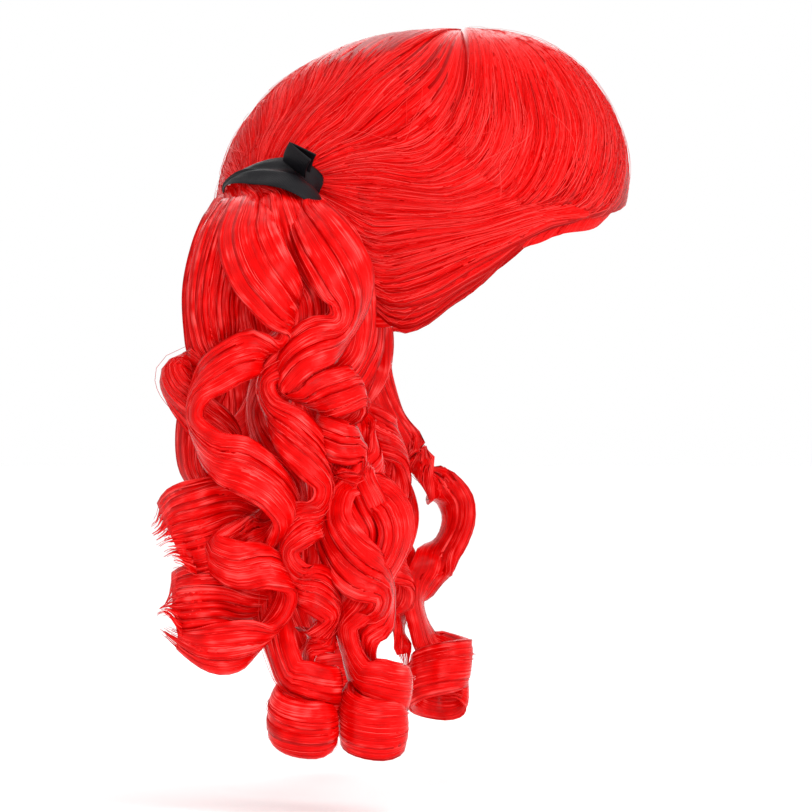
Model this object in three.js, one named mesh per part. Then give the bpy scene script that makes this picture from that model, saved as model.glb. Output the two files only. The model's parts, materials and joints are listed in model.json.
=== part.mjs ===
// A bright red wig: a swept fringe, hair drawn back over the ears, and two bunches of long ringlets,
// each tied with a black ribbon. Millimetres, +Z up, face towards -Y, the wearer's right towards -X.
// The origin is the middle of the head at the line where a head size is measured.
import * as THREE from "three";

const DEGREES = Math.PI / 180;

// The head inside the wig and the hair outside it are two domes. Each has a top, a foremost and a
// rearmost point measured from its apex line, a half width, and a slow taper below the head line.
const HEAD_DOME = { top: 92, apexY: -10, front: 85, back: 105, half: 74, drop: 150 };
const HAIR_DOME = { top: 104, apexY: -20, front: 87.5, back: 130, half: 88, drop: 150 };
const DOME_POWER = 2.2; // 2 is an ellipse, more is squarer

// Depth runs from 0 on the head to 1 on the outside of the hair.
const CAP_INNER_DEPTH = 0.0;
const CAP_OUTER_DEPTH = 0.12;
const HAIR_INNER_DEPTH = 0.24;
const NECK_BASE_DEPTH = 0.22;

// Lower edge of the cap, as degrees down from the apex.
const CAP_EDGE = { front: 58, side: 97, back: 113 };
const CAP_STEPS = { around: 24, down: 9, apex: 3 };

// Where each bunch is gathered: middle and half sizes, in degrees round from the front and down.
const TIE = { round: 131, down: 82, halfRound: 18, halfDown: 12 };

// Hair sections. A row is one combed line of hair, in degrees [round from the front, down from the
// apex], from its root, over the head, to its end. Right is positive.
const FRINGE_LINES = [
  { root: [-84, 50], over: [-83, 66], under: [-84, 86], end: [-87, 103] },
  { root: [-87, 25], over: [-58, 46], under: [-48, 72], end: [-40, 92] },
  { root: [0, 0], over: [-14, 38], under: [-6, 66], end: [6, 87] },
  { root: [87, 25], over: [48, 46], under: [37, 72], end: [48, 94] },
  { root: [85, 37.5], over: [67, 57], under: [63, 80], end: [72, 97] },
  { root: [84, 50], over: [84, 66], under: [84, 86], end: [87, 103] },
];
const SIDE_LINES = [
  { root: [0, 0], over: [112, 25], under: [120, 48], tieClock: 6 },
  { root: [87, 25], over: [99, 40], under: [109, 56], tieClock: 45 },
  { root: [84, 50], over: [93, 61], under: [103, 70], tieClock: 78 },
  { root: [84, 78], over: [93, 88], under: [103, 89], tieClock: 112 },
  { root: [87, 103], over: [98, 111], under: [111, 108], tieClock: 160 },
];
const BACK_LINES = [
  { root: [0, 0], over: [112, 25], under: [120, 48], tieClock: 6 },
  { root: [180, 34], over: [161, 48], under: [150, 60], tieClock: -48 },
  { root: [180, 68], over: [168, 73], under: [157, 77], tieClock: -85 },
  { root: [180, 96], over: [167, 95], under: [155, 92], tieClock: -125 },
  { root: [180, 115], over: [166, 112], under: [148, 107], tieClock: -165 },
];

// How thick each section is, as depth: at its seams, at its root, at its end, and where it is gathered.
const FRINGE_SHAPE = { seam: 0.62, root: 0.78, body: 1, end: 0.55, gather: 0 };
const SIDE_SHAPE = { seam: 0.6, root: 0.72, body: 1, end: 1, gather: 0.3 };
const BACK_SHAPE = { seam: 0.72, root: 0.86, body: 1, end: 1, gather: 0.25 };
const SECTION_STEPS = { along: 12, across: 9 };
const FRINGE_ACROSS = 18;
const SECTION_INSET = 0.007; // share of a section left clear at each seam

// Gathered root of a bunch: stations from the head outwards, with the place of each middle out from and
// up the head, how far it droops in degrees, and its half sizes along and up the head. The ribbon is
// wound between the stations named waist and brim.
const NECK_STATIONS = [
  { out: 0, up: 0, droop: 0, half: 25.5, rise: 16.5 },
  { out: 7, up: 1, droop: 18, half: 24, rise: 14.2 },
  { out: 15, up: 1, droop: 34, half: 22.5, rise: 14.5 },
  { out: 24, up: -5, droop: 46, half: 22.5, rise: 14.5 },
  { out: 27.5, up: -8.5, droop: 52, half: 24, rise: 15 },
];
const [, , WAIST, BRIM, NECK_END] = NECK_STATIONS;
const NECK_SIDES = 24;

// Ribbon: wound round the root, with its end folded over on top. backShare is its width at the back.
const RIBBON = { clear: 0.5, wall: 1.4, backShare: 0.6 };
const RIBBON_SIDES = NECK_SIDES;
const FOLD = { width: 13, length: 15, rise: 3.2, wall: 1.1, along: 27.8, up: 12.1, low: -3, turn: 142 };
const FOLD_STEPS = 10;

// Ringlets of the right bunch. start and lift place the lock in the gathered root, along and up the
// head. out and back are where it hangs, tip its lowest height. coil is the radius of its turns and
// face the side it shows at the tie: 90 faces out, 0 forward, 180 back. The left bunch is its mirror
// image, with each lock swung forward by its swing.
const RINGLET_COLUMNS = ["start", "lift", "out", "back", "tip", "coil", "turns", "face", "width", "swing"];
const RINGLETS = [
  [19.5, 2, 113, 16, -260, 14, 5.2, 165, 27, 34],
  [4.2, 2.2, 110, 57, -264, 14, 4.6, 60, 27, 4],
  [-6, 11, 149, 84, -222, 18, 1.7, 360, 34, 10],
  [-18.5, 1, 106, 116, -226, 16, 4.4, 335, 26, 4],
  [17.2, -7.6, 79, 31, -214, 12, 3.6, 20, 22, 14],
  [-8, -10, 72, 86, -218, 14, 3.4, 180, 26, 6],
  [8, 10.5, 149, 43, -182, 13.5, 2.2, 185, 32, 14],
].map((row) => Object.fromEntries(row.map((value, column) => [RINGLET_COLUMNS[column], value])));

// startWidth, thick and tipShare shape a lock; spread is how soon it reaches its coil; outRun and nest
// carry it clear of the tie; shoulder and under are the height that it turns down at.
const LOCK = { startWidth: 7, thick: 6.6, tipShare: 0.7, spread: 0.48 };
const FALL = { outRun: 24, nest: 0.7, shoulder: -5, under: 5 };
const RINGLET_TIGHTEN = 0.55; // share of the turns that gathers towards the tip
const RINGLET_CLEAR = 0.5; // gap between the gathered root and a lock
const STEPS_PER_TURN = 8;
const STRAIGHT_STEPS = 8;

const HAIR_RED = 0xe8120f;
const CAP_RED = 0xa30d0c;
const RIBBON_BLACK = 0x17151b;

const hairFinish = () => new THREE.MeshStandardMaterial({ color: HAIR_RED, roughness: 0.42, metalness: 0 });
const capFinish = () => new THREE.MeshStandardMaterial({ color: CAP_RED, roughness: 0.85, metalness: 0 });
const ribbonFinish = () =>
  new THREE.MeshStandardMaterial({ color: RIBBON_BLACK, roughness: 0.35, metalness: 0 });

const mix = THREE.MathUtils.lerp;
const ease = (value, from, to) => THREE.MathUtils.smoothstep(value, from, to);
const signedPower = (value, power) => Math.sign(value) * Math.abs(value) ** power;

// A point of a dome: a squared ellipse in profile and in plan.
function domePoint(dome, round, down) {
  const power = 2 / DOME_POWER;
  const reach = Math.abs(Math.sin(down * DEGREES)) ** power;
  const height = signedPower(Math.cos(down * DEGREES), power);
  const middle = dome.apexY + ((dome.back - dome.front) / 2) * reach;
  const length = ((dome.back + dome.front) / 2) * reach;
  return new THREE.Vector3(
    -dome.half * reach * signedPower(Math.sin(round * DEGREES), power),
    middle - length * signedPower(Math.cos(round * DEGREES), power),
    (height >= 0 ? dome.top : dome.drop) * height,
  );
}

const headPoint = (round, down, depth) =>
  domePoint(HEAD_DOME, round, down).lerp(domePoint(HAIR_DOME, round, down), depth);

// Combed lines are drawn on a flat chart of the head, with the apex in the middle.
const toChart = ([round, down]) =>
  new THREE.Vector3(down * Math.sin(round * DEGREES), down * Math.cos(round * DEGREES), 0);

function fromChart(chart, depth) {
  return headPoint(Math.atan2(chart.x, chart.y) / DEGREES, Math.hypot(chart.x, chart.y), depth);
}

// A point on the gathered edge of the head hair, by a clock that starts at the top and runs forward.
function tiePoint(clock) {
  return [
    TIE.round - TIE.halfRound * Math.sin(clock * DEGREES),
    TIE.down - TIE.halfDown * Math.cos(clock * DEGREES),
  ];
}

// Rings of points become one closed skin, with a flat strip across each end.
function closedLoft(rings) {
  const count = rings[0].length;
  const position = rings.flat().flatMap((point) => point.toArray());
  const index = [];
  const quad = (a, b, c, d) => index.push(a, b, c, a, c, d);
  for (let ring = 0; ring + 1 < rings.length; ring += 1) {
    for (let side = 0; side < count; side += 1) {
      const next = (side + 1) % count;
      const here = ring * count;
      quad(here + side, here + next, here + count + next, here + count + side);
    }
  }
  const last = (rings.length - 1) * count;
  for (let side = 0; side + 1 < count / 2; side += 1) {
    const far = count - 1 - side;
    if (side + 1 === far - 1) {
      index.push(side, far, side + 1, last + side, last + side + 1, last + far);
    } else {
      quad(side, far, far - 1, side + 1);
      quad(last + side, last + side + 1, last + far - 1, last + far);
    }
  }
  const geometry = new THREE.BufferGeometry();
  geometry.setAttribute("position", new THREE.Float32BufferAttribute(position, 3));
  geometry.setIndex(volumeOf(position, index) < 0 ? index.reverse() : index);
  geometry.computeVertexNormals();
  return geometry;
}

function volumeOf(position, index) {
  const corner = (at) => new THREE.Vector3().fromArray(position, 3 * at);
  let total = 0;
  for (let at = 0; at < index.length; at += 3) {
    total += corner(index[at]).dot(corner(index[at + 1]).cross(corner(index[at + 2])));
  }
  return total / 6;
}

// The cap: a thin dome, outer face down to the edge and inner face back up.
function capGeometry() {
  const level = (CAP_EDGE.front + CAP_EDGE.back) / 4 + CAP_EDGE.side / 2;
  const twice = level - CAP_EDGE.side;
  const once = (CAP_EDGE.front - CAP_EDGE.back) / 2;
  const edge = (round) => level + once * Math.cos(round * DEGREES) + twice * Math.cos(2 * round * DEGREES);
  const ring = (share, depth) =>
    Array.from({ length: CAP_STEPS.around }, (_, step) => {
      const round = (360 * step) / CAP_STEPS.around;
      return headPoint(round, mix(CAP_STEPS.apex, edge(round), share), depth);
    });
  const shares = Array.from({ length: CAP_STEPS.down + 1 }, (_, step) => step / CAP_STEPS.down);
  const outer = shares.map((share) => ring(share, CAP_OUTER_DEPTH));
  const inner = shares.map((share) => ring(share, CAP_INNER_DEPTH)).reverse();
  return closedLoft([...outer, ...inner]);
}

// One section of hair, a thick sheet that follows its combed lines.
function sectionGeometry(lines, shape, across) {
  const combed = lines.map(({ root, over, under, end, tieClock }) => {
    const stops = [root, over, under, end ?? tiePoint(tieClock)];
    return new THREE.CatmullRomCurve3(stops.map(toChart));
  });
  const inset = (step, steps) => mix(SECTION_INSET, 1 - SECTION_INSET, step / steps);
  const rings = [];
  for (let step = 0; step <= SECTION_STEPS.along; step += 1) {
    const along = inset(step, SECTION_STEPS.along);
    const crossLine = new THREE.CatmullRomCurve3(combed.map((line) => line.getPoint(along)));
    const outer = [];
    const inner = [];
    for (let row = 0; row <= across; row += 1) {
      const share = inset(row, across);
      const chart = crossLine.getPoint(share);
      outer.push(fromChart(chart, outerDepth(shape, along, share)));
      inner.unshift(fromChart(chart, HAIR_INNER_DEPTH));
    }
    rings.push([...outer, ...inner]);
  }
  return closedLoft(rings);
}

function outerDepth(shape, along, share) {
  const seam = mix(shape.body, shape.seam, Math.abs(2 * share - 1) ** 8);
  const root = mix(shape.root, 1, ease(along, 0, 0.14));
  const end = mix(1, shape.end, ease(along, 0.84, 1));
  return seam * root * end + shape.gather * ease(along, 0.7, 1);
}

// The frame of a bunch: its root on the head, and the directions along, up and out from the head.
function tieFrame() {
  const base = headPoint(TIE.round, TIE.down, NECK_BASE_DEPTH);
  const surface = (round, down) => domePoint(HAIR_DOME, round, down);
  const along = surface(TIE.round - 1, TIE.down).sub(surface(TIE.round + 1, TIE.down)).normalize();
  const rise = surface(TIE.round, TIE.down - 1).sub(surface(TIE.round, TIE.down + 1));
  const out = along.clone().cross(rise).normalize();
  return { base, along, up: out.clone().cross(along), out };
}

const TIE_FRAME = tieFrame();

// The frame of one station of the root, which droops as it leaves the head.
function stationFrame({ out, up, droop }) {
  const turn = droop * DEGREES;
  const { base, along } = TIE_FRAME;
  return {
    base: base.clone().addScaledVector(TIE_FRAME.up, up).addScaledVector(TIE_FRAME.out, out),
    along,
    up: TIE_FRAME.up.clone().multiplyScalar(Math.cos(turn)).addScaledVector(TIE_FRAME.out, Math.sin(turn)),
    out: TIE_FRAME.out.clone().multiplyScalar(Math.cos(turn)).addScaledVector(TIE_FRAME.up, -Math.sin(turn)),
  };
}

function inFrame(frame, along, up, out) {
  return frame.base.clone()
    .addScaledVector(frame.along, along)
    .addScaledVector(frame.up, up)
    .addScaledVector(frame.out, out);
}

function ovalPoint(station, turn, grow) {
  const along = (station.half + grow) * Math.cos(turn);
  return inFrame(stationFrame(station), along, (station.rise + grow) * Math.sin(turn), 0);
}

const turnOf = (side, sides) => (2 * Math.PI * side) / sides;

function neckGeometry() {
  const sides = Array.from({ length: NECK_SIDES }, (_, side) => turnOf(side, NECK_SIDES));
  return closedLoft(NECK_STATIONS.map((station) => sides.map((turn) => ovalPoint(station, turn, 0))));
}

// The ribbon band: a wall round the waist of the root, wider at its front.
function bandGeometry() {
  const rings = [];
  for (let side = 0; side < RIBBON_SIDES; side += 1) {
    const turn = turnOf(side, RIBBON_SIDES);
    const width = mix(RIBBON.backShare, 1, (1 + Math.cos(turn)) / 2);
    const start = (grow) => ovalPoint(WAIST, turn, grow);
    const end = (grow) => start(grow).lerp(ovalPoint(BRIM, turn, grow), width);
    const inner = RIBBON.clear;
    const outer = RIBBON.clear + RIBBON.wall;
    rings.push([start(inner), start(outer), end(outer), end(inner)]);
  }
  return closedHoop(rings);
}

// Rings of points joined round into a hoop.
function closedHoop(rings) {
  const count = rings[0].length;
  const position = rings.flat().flatMap((point) => point.toArray());
  const index = [];
  rings.forEach((_, ring) => {
    const here = ring * count;
    const there = ((ring + 1) % rings.length) * count;
    for (let side = 0; side < count; side += 1) {
      const next = (side + 1) % count;
      index.push(here + side, here + next, there + next, here + side, there + next, there + side);
    }
  });
  const geometry = new THREE.BufferGeometry();
  geometry.setAttribute("position", new THREE.Float32BufferAttribute(position, 3));
  geometry.setIndex(volumeOf(position, index) < 0 ? index.reverse() : index);
  geometry.computeVertexNormals();
  return geometry;
}

// The ribbon's end: a strip that runs up and back over the band, turns and comes back on itself.
function foldGeometry() {
  const run = new THREE.Vector2(Math.cos(FOLD.turn * DEGREES), Math.sin(FOLD.turn * DEGREES));
  const wide = new THREE.Vector2(-run.y, run.x);
  const frame = stationFrame({
    out: (WAIST.out + BRIM.out) / 2,
    up: (WAIST.up + BRIM.up) / 2,
    droop: (WAIST.droop + BRIM.droop) / 2,
  });
  const rings = [];
  for (let step = 0; step <= FOLD_STEPS; step += 1) {
    const bend = ease(step / FOLD_STEPS, 0, 1) * 2 - 1;
    const reach = FOLD.length * (1 - Math.abs(bend) ** 1.6);
    const height = FOLD.low + FOLD.rise * (1 + bend);
    const lean = FOLD.wall / 2;
    const tilt = new THREE.Vector2(Math.sign(bend) * Math.abs(bend) ** 0.5, Math.sqrt(1 - Math.abs(bend)));
    const corner = (edge, face) => {
      const place = reach + face * lean * tilt.y;
      const along = FOLD.along + run.x * place + wide.x * edge * (FOLD.width / 2);
      const up = FOLD.up + run.y * place + wide.y * edge * (FOLD.width / 2);
      return inFrame(frame, along, up, height + face * lean * tilt.x);
    };
    rings.push([corner(-1, -1), corner(1, -1), corner(1, 1), corner(-1, 1)]);
  }
  return closedLoft(rings);
}

// A ringlet: a flat lock that leaves the tie, turns down and winds round its own hanging line.
function ringletGeometry(row) {
  const neckEnd = stationFrame(NECK_END);
  const start = inFrame(neckEnd, row.start, row.lift, RINGLET_CLEAR);
  const shoulder = start.clone().addScaledVector(neckEnd.out, FALL.outRun + FALL.nest * row.lift);
  const turnDown = FALL.shoulder + FALL.under * Math.min(row.lift, 0);
  const hang = new THREE.Vector3(-row.out, row.back, turnDown);
  const tip = new THREE.Vector3(-row.out, row.back, row.tip);
  const line = new THREE.CubicBezierCurve3(start, shoulder, hang, tip);
  const steps = STRAIGHT_STEPS + Math.round(row.turns * STEPS_PER_TURN);

  const radial = (share) => {
    const wound = mix(share, share ** 2, RINGLET_TIGHTEN);
    const turn = (row.face - 360 * row.turns * wound) * DEGREES;
    return new THREE.Vector3(-Math.sin(turn), -Math.cos(turn), 0);
  };
  const centre = (share) =>
    line.getPointAt(share).addScaledVector(radial(share), row.coil * ease(share, 0.02, LOCK.spread));

  const rings = [];
  for (let step = 0; step <= steps; step += 1) {
    const share = step / steps;
    const before = centre(Math.max(share - 0.002, 0));
    const heading = centre(Math.min(share + 0.002, 1)).sub(before).normalize();
    const across = heading.clone().cross(radial(share)).normalize();
    const face = across.clone().cross(heading).normalize();
    const grown = mix(LOCK.startWidth, row.width, ease(share, 0, LOCK.spread));
    const half = (grown * mix(1, LOCK.tipShare, ease(share, 0.8, 1))) / 2;
    const thick = LOCK.thick / 2;
    const at = (wide, deep) =>
      centre(share).addScaledVector(across, wide * half).addScaledVector(face, deep * thick);
    rings.push([at(-1, 0), at(-0.5, 1), at(0.5, 1), at(1, 0), at(0.5, -1), at(-0.5, -1)]);
  }
  return closedLoft(rings);
}

function named(name, geometry, finish) {
  const mesh = new THREE.Mesh(geometry, finish);
  mesh.name = name;
  return mesh;
}

// One side of the wig, as it lies on the wearer's right.
function sideGroup(side, ringlets) {
  const group = new THREE.Group();
  group.add(
    named(`side_${side}`, sectionGeometry(SIDE_LINES, SIDE_SHAPE, SECTION_STEPS.across), hairFinish()),
    named(`back_${side}`, sectionGeometry(BACK_LINES, BACK_SHAPE, SECTION_STEPS.across), hairFinish()),
    named(`bunch_neck_${side}`, neckGeometry(), hairFinish()),
    named(`ribbon_band_${side}`, bandGeometry(), ribbonFinish()),
    named(`ribbon_fold_${side}`, foldGeometry(), ribbonFinish()),
  );
  ringlets.forEach((row, order) => {
    group.add(named(`ringlet_${side}_${order + 1}`, ringletGeometry(row), hairFinish()));
  });
  return group;
}

const ringletsLeft = RINGLETS.map((row) => ({ ...row, back: row.back - row.swing }));

const wig = new THREE.Group();
const left = sideGroup("left", ringletsLeft);
left.scale.x = -1;
wig.add(
  named("cap", capGeometry(), capFinish()),
  named("fringe", sectionGeometry(FRINGE_LINES, FRINGE_SHAPE, FRINGE_ACROSS), hairFinish()),
  sideGroup("right", RINGLETS),
  left,
);

export default wig;
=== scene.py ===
# %% [markdown]
# # A red wig with two bunches of ringlets
# A costume wig is a net cap with rows of shiny synthetic fibre sewn to it. Here the fibre is a
# swept fringe, smooth hair combed back on each side, and two bunches tied with black ribbon that
# fall in ringlets. The imported model gives the place and size of every piece, so it is loaded
# first.

# %% Load the imported model
import json
import math

import bpy
import numpy as np
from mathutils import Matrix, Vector

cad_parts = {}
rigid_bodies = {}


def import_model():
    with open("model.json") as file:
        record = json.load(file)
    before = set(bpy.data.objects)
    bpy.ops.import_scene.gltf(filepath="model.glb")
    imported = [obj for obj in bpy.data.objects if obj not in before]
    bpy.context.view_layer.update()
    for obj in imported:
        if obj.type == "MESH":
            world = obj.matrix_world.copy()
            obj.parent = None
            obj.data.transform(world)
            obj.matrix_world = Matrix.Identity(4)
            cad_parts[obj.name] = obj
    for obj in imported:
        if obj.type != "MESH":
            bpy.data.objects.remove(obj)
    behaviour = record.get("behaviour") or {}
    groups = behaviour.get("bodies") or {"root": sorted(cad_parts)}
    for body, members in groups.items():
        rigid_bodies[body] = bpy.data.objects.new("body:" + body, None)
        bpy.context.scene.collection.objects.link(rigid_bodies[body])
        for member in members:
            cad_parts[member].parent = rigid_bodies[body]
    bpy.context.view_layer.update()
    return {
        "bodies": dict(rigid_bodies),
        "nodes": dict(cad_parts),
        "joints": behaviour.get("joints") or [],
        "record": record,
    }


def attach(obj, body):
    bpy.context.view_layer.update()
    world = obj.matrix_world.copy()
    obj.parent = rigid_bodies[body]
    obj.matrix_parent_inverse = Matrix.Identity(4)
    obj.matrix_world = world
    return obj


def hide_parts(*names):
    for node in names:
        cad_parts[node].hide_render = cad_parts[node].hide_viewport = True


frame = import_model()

MM = 0.001
MIDDLE_TONE = 0.5

# %% [markdown]
# ## Camera and light
# The picture is a level view of the wearer's right side, from far enough away that the sides
# hardly converge. The angle of view follows from how many millimetres one pixel covers at the
# middle of the head. A white surround with soft lamps in front, behind, above and on either side
# gives the bright even light of a catalogue picture, with a pale gloss along the front, back and
# crown.

# %% Camera
PICTURE_PIXELS = 812
MM_PER_PIXEL = 0.53
CAMERA_AWAY = 2.2
CAMERA_AIM = (0.01007, -0.0954)

camera_data = bpy.data.cameras.new("camera")
camera_data.angle = 2 * math.atan(PICTURE_PIXELS * MM_PER_PIXEL * MM / 2 / CAMERA_AWAY)
camera = bpy.data.objects.new("camera", camera_data)
camera.location = (-CAMERA_AWAY, *CAMERA_AIM)
camera.rotation_euler = (math.pi / 2, 0, -math.pi / 2)
bpy.context.collection.objects.link(camera)
bpy.context.scene.camera = camera
print("angle of view", round(math.degrees(camera_data.angle), 2))

# %% Light
SURROUND_STRENGTH = 1.0
bpy.context.scene.view_settings.view_transform = "Standard"
surround = bpy.data.worlds.new("surround")
surround.use_nodes = True
surround.node_tree.nodes["Background"].inputs["Color"].default_value = (1, 1, 1, 1)
surround.node_tree.nodes["Background"].inputs["Strength"].default_value = SURROUND_STRENGTH
bpy.context.scene.world = surround


def soft_lamp(name, place, size, watts):
    """A square lamp at a place, turned so that it faces the middle of the wig."""
    data = bpy.data.lights.new(name, "AREA")
    data.size, data.energy = size, watts
    lamp = bpy.data.objects.new(name, data)
    lamp.location = place
    aim = lamp.location - Vector((0, *CAMERA_AIM))
    lamp.rotation_euler = aim.to_track_quat("Z", "Y").to_euler()
    bpy.context.collection.objects.link(lamp)


LAMPS = {
    "lamp_front": {"place": (-1.1, -1.1, 0.7), "size": 0.6, "watts": 8},
    "lamp_back": {"place": (-0.6, 1.4, 0.6), "size": 0.6, "watts": 1.2},
    "lamp_side": {"place": (-1.8, -0.3, -0.05), "size": 0.8, "watts": 14},
    "lamp_top": {"place": (-0.9, -0.5, 1.1), "size": 0.5, "watts": 5},
    "lamp_far": {"place": (1.3, 0.1, 0.6), "size": 0.8, "watts": 4},
}
for lamp_name, lamp_facts in LAMPS.items():
    soft_lamp(lamp_name, **lamp_facts)

# %% [markdown]
# ## Shader maths as Python
# A material is a small net of nodes. Wiring each node by hand hides the sum that it stands for, so
# this class wraps a node's output and lets Python's own signs make the Math nodes. Everything else
# comes from one method, which sets a node's settings first and its sockets after.


# %% The wire class
class Wire:
    """A node's output: + - and * on it add Math nodes, and so does a number minus it."""

    def __init__(self, tree, socket=None):
        self.tree, self.socket = tree, socket

    def node(self, kind, settings=None, sockets=None, out=0):
        made = self.tree.nodes.new(kind)
        for key, value in (settings or {}).items():
            if key == "stops":
                self.fill_ramp(made.color_ramp, value)
            else:
                setattr(made, key, value)
        for key, value in (sockets or {}).items():
            if isinstance(value, Wire):
                self.tree.links.new(value.socket, made.inputs[key])
            else:
                made.inputs[key].default_value = value
        return Wire(self.tree, made.outputs[out] if made.outputs else None)

    def fill_ramp(self, ramp, stops):
        while len(ramp.elements) < len(stops):
            ramp.elements.new(1.0)
        for element, (place, colour) in zip(ramp.elements, stops):
            element.position, element.color = place, (*colour, 1)

    def maths(self, operation, first, second):
        return self.node("ShaderNodeMath", {"operation": operation}, {0: first, 1: second})

    def __add__(self, other):
        return self.maths("ADD", self, other)

    def __sub__(self, other):
        return self.maths("SUBTRACT", self, other)

    def __rsub__(self, other):
        return self.maths("SUBTRACT", other, self)

    def __mul__(self, other):
        return self.maths("MULTIPLY", self, other)


def new_finish(name):
    """An empty material and a wire to start its nodes from."""
    finish = bpy.data.materials.new(name)
    finish.use_nodes = True
    finish.node_tree.nodes.clear()
    return finish, Wire(finish.node_tree)


def wear_shader(start, sockets):
    """Principled shader with these socket values or links, joined to the material's output."""
    shader = start.node("ShaderNodeBsdfPrincipled", {}, sockets)
    start.node("ShaderNodeOutputMaterial", {}, {"Surface": shader})


def fibre_map(start):
    """The map of a piece in millimetres, across its fibres and along them."""
    return start.node("ShaderNodeUVMap", {"uv_map": "fibre"})


def noise(start, vector, scale, detail, roughness=0.5, dimensions="2D"):
    return start.node(
        "ShaderNodeTexNoise",
        {"noise_dimensions": dimensions},
        {"Vector": vector, "Scale": scale, "Detail": detail, "Roughness": roughness},
    )


def blend(start, share, first, second):
    """A colour that goes from the first to the second as share goes from 0 to 1."""
    colours = {6: (*first, 1), 7: (*second, 1)}
    return start.node("ShaderNodeMix", {"data_type": "RGBA"}, {0: share, **colours}, out=2)


def bump(start, strength, distance, height):
    facts = {"Strength": strength, "Distance": distance, "Height": height}
    return start.node("ShaderNodeBump", {}, facts)


print("shader maths ready")

# %% [markdown]
# ## The hair finish
# Synthetic fibre is smooth and bright, and its colour comes from many thin threads that each catch
# the light a little differently. Every piece of hair below carries a map in millimetres, across
# the fibres and along them. Noise that is fine across and very long along gives the threads, a
# coarser one gives the bands of a comb, and each lock has a tone of its own. The palest of the reds
# is a painted pink highlight. The same threads push the surface up and down through a Bump node,
# which draws the gloss out across the fibres. In curls the threads are shorter, and broad patches
# across them, painted highlight and painted shade in the colour, break them up. A faint glow of the
# hair's own colour is painted light that lifts its shade; it stands for the light that fibres pass
# on to one another.

# %% Hair finish
# Noise cells in a millimetre, across the fibres and along them.
SLEEK_THREADS, CURL_THREADS = (1.15, 0.011), (1.6, 0.03)
TUFT_THREADS, BAND_THREADS, PAINTED_GLINT_THREADS = (0.5, 0.008), (0.12, 0.004), (0.06, 0.09)
THREAD_ROUGHNESS = 0.6
# Painted highlight: how strongly lighter and darker patches break up the threads, none on sleek
# hair.
SLEEK_PAINTED_GLINT, CURL_PAINTED_GLINT = 0.0, 0.9
FINE_SHARE, TUFT_SHARE, BAND_SHARE, PAINTED_GLINT_SHARE, TONE_SHARE = 0.76, 0.34, 0.3, 0.2, 0.3
SHADE_DROP = 0.37
HAIR_REDS_AND_HIGHLIGHT = [
    (0.20, (0.40, 0.0005, 0.0005)),
    (0.42, (0.56, 0.0008, 0.0008)),
    (0.56, (0.66, 0.0030, 0.0030)),
    # Painted highlight: the palest stop is pink, the gloss of bright threads put into the colour.
    (0.80, (0.86, 0.0700, 0.0650)),
]
# The glow is painted light: a faint emission in the hair's own colour that lifts its shade.
FIBRE_GLOSS, FIBRE_PAINTED_GLOW = 0.07, 0.1
ROUGH_LEAST, ROUGH_MORE = 0.15, 0.2
FIBRE_BUMP, TUFT_HEIGHT = (0.25, 0.0005), 0.6


def hair_finish(name, thread_size, painted_glint):
    """Red fibre: threads of a size, and the strength of painted highlight patches across them."""
    finish, start = new_finish(name)
    millimetres = fibre_map(start)
    tone = start.node("ShaderNodeAttribute", {"attribute_name": "tone"}, out="Fac")

    def threads(size, detail=1.0):
        stretched = start.node(
            "ShaderNodeVectorMath", {"operation": "MULTIPLY"}, {0: millimetres, 1: (*size, 0)}
        )
        return noise(start, stretched, scale=1.0, detail=detail, roughness=THREAD_ROUGHNESS)

    fine = threads(thread_size, detail=2.0)
    tufts, bands = threads(TUFT_THREADS), threads(BAND_THREADS)
    # Painted highlight and painted shade: broad patches across the fibres, as if curls faced the
    # light.
    painted_glints = (threads(PAINTED_GLINT_THREADS) - 0.5) * painted_glint
    shade = (
        fine * (painted_glints + FINE_SHARE)
        + tufts * TUFT_SHARE
        + bands * BAND_SHARE
        + painted_glints * PAINTED_GLINT_SHARE
        + tone * TONE_SHARE
        - SHADE_DROP
    )
    colour = start.node("ShaderNodeValToRGB", {"stops": HAIR_REDS_AND_HIGHLIGHT}, {"Fac": shade})
    wear_shader(
        start,
        {
            "Base Color": colour,
            "Roughness": fine * ROUGH_MORE + ROUGH_LEAST,
            "Normal": bump(start, *FIBRE_BUMP, fine + tufts * TUFT_HEIGHT),
            "Specular IOR Level": FIBRE_GLOSS,
            "Emission Color": colour,
            "Emission Strength": FIBRE_PAINTED_GLOW,
        },
    )
    return finish


red_hair = hair_finish("red_hair_fibre", SLEEK_THREADS, SLEEK_PAINTED_GLINT)
red_curls = hair_finish("red_curl_fibre", CURL_THREADS, CURL_PAINTED_GLINT)
print("made", red_hair.name, "and", red_curls.name)

# %% [markdown]
# ## Ribbon and net finishes
# The ribbon is black satin, threads so fine that only a soft sheen across the weave shows. That
# sheen is painted into its black as lighter clouds, with the cross ribs of its weave at their
# scale.
# The cap is a matte stretch net, a lattice of small holes, and its holes are painted darker as
# painted shade. Both read a map in millimetres too, so that the weave follows the cloth where it
# bends.


# %% Ribbon and net
SATIN_DARK, SATIN_RIBS_AND_SHEEN, SATIN_GLOSS = (0.002, 0.0018, 0.0026), (0.007, 0.006, 0.008), 0.16
CLOUD_SHARE, RIB_SHARE = 0.7, 0.3
SATIN_ROUGH_LEAST, SATIN_ROUGH_MORE = 0.36, 0.2
SATIN_BUMP, CLOUD_HEIGHT = (0.35, 0.0003), 0.8
NET_THREAD, NET_HOLE_SHADE = (0.36, 0.008, 0.008), (0.10, 0.002, 0.002)
NET_ROUGH, HOLE_SMOOTH, NET_BUMP = 0.82, 0.1, (0.7, 0.0006)


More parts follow.
